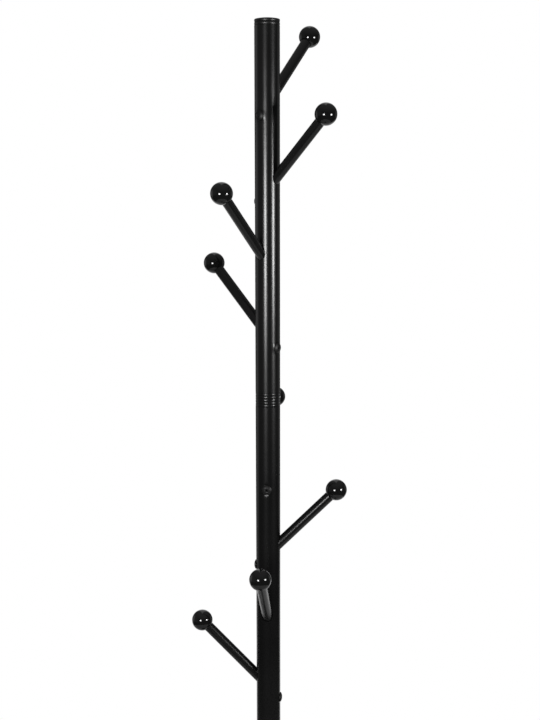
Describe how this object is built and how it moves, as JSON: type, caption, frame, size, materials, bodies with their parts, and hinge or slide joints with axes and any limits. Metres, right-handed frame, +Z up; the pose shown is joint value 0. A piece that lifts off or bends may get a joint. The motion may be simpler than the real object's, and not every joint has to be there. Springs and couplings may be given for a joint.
{
  "type": "standing coat rack",
  "caption": "Free-standing coat rack: a black screwed steel pole with a spiral of upward ball-ended pegs, on a weighted round base.",
  "frame": {"origin": "on the floor, under the axis of the pole", "axes": "+Z up along the pole; the front, as it is usually seen, faces -Y; +X is to the right"},
  "size_m": [0.35, 0.35, 1.75],
  "materials": {
    "pole_paint": "satin black powder coat",
    "peg_paint": "satin black powder coat",
    "base_steel": "satin black powder coat",
    "collar_plastic": "satin moulded black",
    "ball_plastic": "polished black",
    "bolt_black": "black oxide",
    "plated_steel": "zinc plated",
    "ballast": "rough cast",
    "foot_rubber": "matt"
  },
  "bodies": {
    "root": {"foot_1": "foot_rubber", "foot_2": "foot_rubber", "foot_3": "foot_rubber", "foot_4": "foot_rubber", "foot_5": "foot_rubber", "foot_6": "foot_rubber", "base_plate": "base_steel", "plate_screws": "plated_steel", "base_weight": "ballast", "base_bolt": "plated_steel", "base_washer": "plated_steel", "base_cover": "base_steel", "base_collar": "collar_plastic", "lower_tube": "pole_paint", "lower_joint_stud": "plated_steel", "lower_joint_collar": "collar_plastic", "middle_tube": "pole_paint", "upper_joint_stud": "plated_steel", "upper_joint_collar": "collar_plastic", "upper_tube": "pole_paint", "top_cap": "collar_plastic", "lower_tube_bottom_insert": "plated_steel", "lower_tube_top_insert": "plated_steel", "middle_tube_bottom_insert": "plated_steel", "middle_tube_top_insert": "plated_steel", "upper_tube_bottom_insert": "plated_steel", "peg_1_tube": "peg_paint", "peg_2_tube": "peg_paint", "peg_3_tube": "peg_paint", "peg_4_tube": "peg_paint", "peg_5_tube": "peg_paint", "peg_6_tube": "peg_paint", "peg_7_tube": "peg_paint", "peg_8_tube": "peg_paint", "peg_1_insert": "plated_steel", "peg_2_insert": "plated_steel", "peg_3_insert": "plated_steel", "peg_4_insert": "plated_steel", "peg_5_insert": "plated_steel", "peg_6_insert": "plated_steel", "peg_7_insert": "plated_steel", "peg_8_insert": "plated_steel", "peg_1_ball": "ball_plastic", "peg_2_ball": "ball_plastic", "peg_3_ball": "ball_plastic", "peg_4_ball": "ball_plastic", "peg_5_ball": "ball_plastic", "peg_6_ball": "ball_plastic", "peg_7_ball": "ball_plastic", "peg_8_ball": "ball_plastic", "peg_bolts": "bolt_black"}
  },
  "joints": []
}
